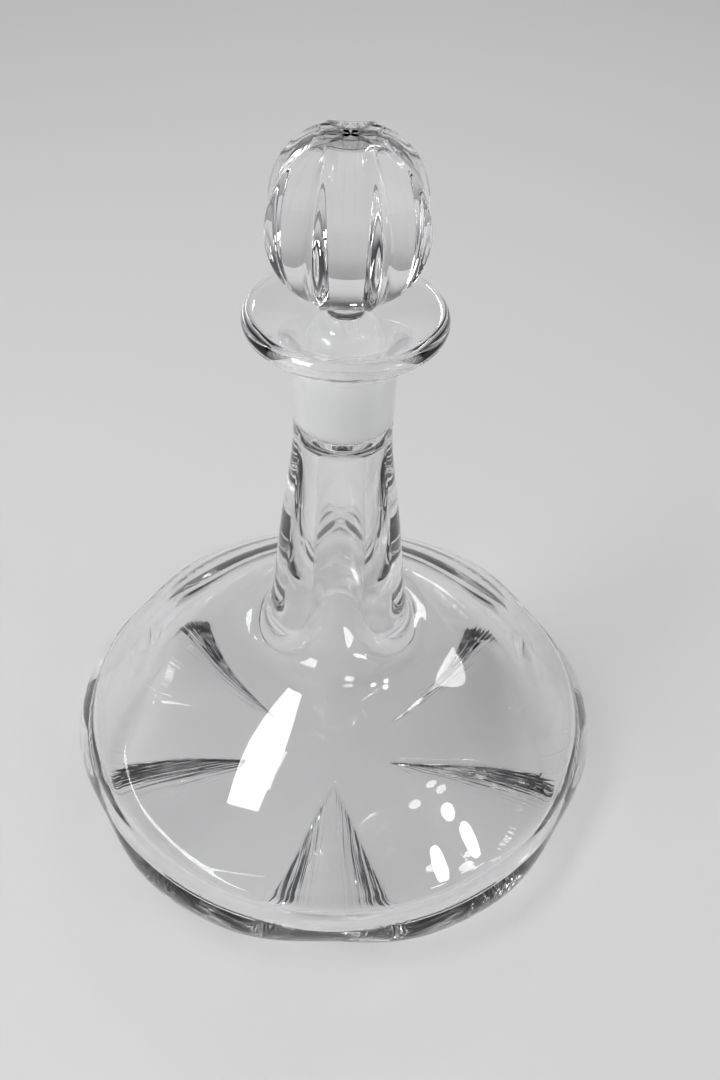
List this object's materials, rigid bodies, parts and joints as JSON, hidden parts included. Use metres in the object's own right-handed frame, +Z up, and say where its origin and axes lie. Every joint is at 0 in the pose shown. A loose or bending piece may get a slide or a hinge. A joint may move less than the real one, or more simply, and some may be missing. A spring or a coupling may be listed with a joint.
{
  "type": "wine decanter",
  "caption": "Squat ship's decanter in clear crystal with a lobed bowl, scooped underside, flared lip and a panelled ball stopper in a ground taper.",
  "frame": {"origin": "centre of the foot, on the surface that the decanter stands on", "axes": "+Z up along the neck; -Y is the front, where a valley between two lobes and a panel of the stopper face"},
  "size_m": [0.1926, 0.1873, 0.254],
  "materials": {
    "vessel_crystal": "clear polished crystal, ground matt white inside the top of the neck",
    "stopper_crystal": "clear polished crystal ball with cut panels, ground matt white on the plug"
  },
  "bodies": {
    "decanter": {"vessel": "vessel_crystal"},
    "stopper": {"stopper": "stopper_crystal"}
  },
  "joints": [
    {"name": "stopper_lift", "type": "slide", "parent": "decanter", "child": "stopper", "axis": [0, 0, 1], "range_m": [0, 0.06]}
  ]
}
